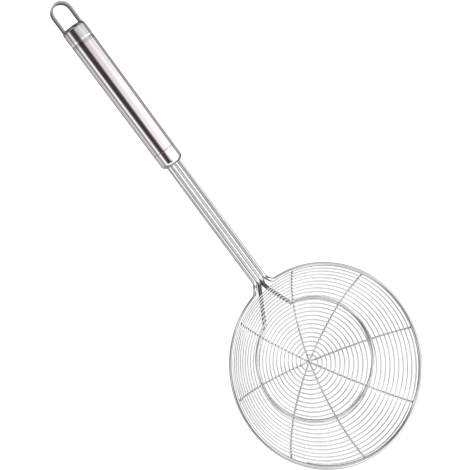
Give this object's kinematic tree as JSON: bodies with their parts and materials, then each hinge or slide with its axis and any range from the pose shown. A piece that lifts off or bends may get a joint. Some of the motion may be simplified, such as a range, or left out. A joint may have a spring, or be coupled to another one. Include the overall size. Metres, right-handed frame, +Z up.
{
  "type": "spider skimmer",
  "caption": "Spider skimmer: round spherical wire basket with a spiral mesh on crossing wires, a four-wire neck, a tubular handle and a flat hanging loop.",
  "frame": {"origin": "centre of the basket's rim, in the plane of the rim wire's centreline", "axes": "+Z straight up out of the bowl, +X from the basket towards the handle, whose axis lies in the XZ plane; +Y completes a right-handed frame"},
  "size_m": [0.3849, 0.153, 0.1192],
  "materials": {
    "mesh_steel": "polished",
    "wire_steel": "polished",
    "handle_steel": "polished",
    "cap_steel": "satin",
    "loop_steel": "satin"
  },
  "bodies": {
    "root": {"mesh_spiral": "mesh_steel", "cross_wire_1": "wire_steel", "cross_wire_2": "wire_steel", "cross_wire_3": "wire_steel", "cross_wire_4": "wire_steel", "rim_wire": "wire_steel", "support_ring_wire": "wire_steel", "handle_tube": "handle_steel", "lower_end_cap": "cap_steel", "upper_end_cap": "cap_steel", "hanging_loop": "loop_steel"}
  },
  "joints": []
}
